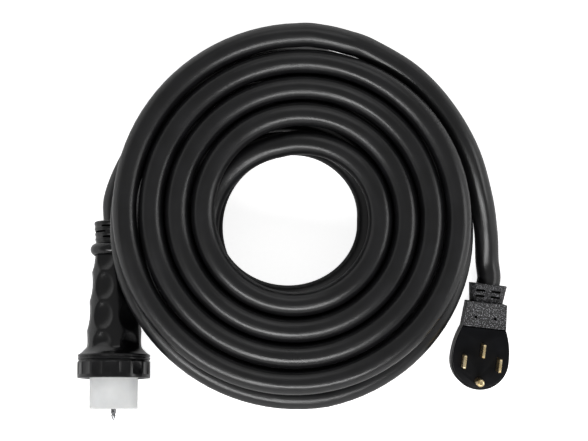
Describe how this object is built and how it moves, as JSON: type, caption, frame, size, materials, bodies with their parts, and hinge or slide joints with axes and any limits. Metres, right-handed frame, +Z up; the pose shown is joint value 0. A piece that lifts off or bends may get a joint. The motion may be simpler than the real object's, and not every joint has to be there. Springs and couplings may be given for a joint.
{
  "type": "shore power cord",
  "caption": "Shore power cord for a recreational vehicle: thick black cord in a layered round coil, with a threaded locking connector and a right-angle plug with blades up",
  "frame": {"origin": "on the floor, midway between the outsides of the connector and the plug", "axes": "+X from the connector to the plug, +Y away from the connector's nose and the plug's blades' end, +Z up from the floor"},
  "size_m": [0.4189, 0.3796, 0.0935],
  "materials": {
    "jacket": "semi-gloss PVC with a faint lay",
    "soft_moulding": "satin",
    "hard_black": "glossy",
    "plug_black": "fine grain",
    "plug_face_black": "satin",
    "nose_white": "frosted",
    "brass": "polished",
    "plated_pin": "turned",
    "steel": "zinc plated",
    "gasket": "matte",
    "grey_plastic": "moulded",
    "wire_black": "smooth",
    "wire_red": "smooth",
    "wire_white": "smooth",
    "wire_green": "smooth"
  },
  "bodies": {
    "cordset": {"cord_coil": "jacket", "cord_to_connector": "jacket", "cord_to_plug": "jacket", "connector_strain_relief": "soft_moulding", "connector_collar": "soft_moulding", "connector_grip": "soft_moulding", "grip_rim": "hard_black", "ring_retainer": "steel", "ring_gasket": "gasket", "nose": "nose_white", "contact_hot_x": "brass", "contact_hot_y": "brass", "contact_neutral": "brass", "centre_pin": "plated_pin", "terminal_block": "grey_plastic", "terminal_screws": "steel", "block_screws": "steel", "inner_sleeve": "grey_plastic", "clamp_half_upper": "grey_plastic", "clamp_half_lower": "grey_plastic", "clamp_band": "steel", "connector_jacket_end": "jacket", "connector_wire_black": "wire_black", "connector_wire_red": "wire_red", "connector_wire_white": "wire_white", "connector_wire_green": "wire_green", "plug_cover": "plug_black", "plug_face": "plug_face_black", "plug_core": "grey_plastic", "plug_strain_relief": "soft_moulding", "plug_crimp_ring": "steel", "blade_hot_x": "brass", "blade_hot_y": "brass", "blade_neutral": "brass", "ground_pin": "brass", "core_screws": "steel", "plug_jacket_end": "jacket", "plug_wire_black": "wire_black", "plug_wire_red": "wire_red", "plug_wire_white": "wire_white", "plug_wire_green": "wire_green"},
    "ring": {"locking_ring": "hard_black"}
  },
  "joints": [
    {"name": "ring_turn", "type": "hinge", "parent": "cordset", "child": "ring", "pos_m": [-0.17398, -0.04724, 0.03655], "axis": [0, -0.9939, 0.1107], "continuous": true}
  ]
}
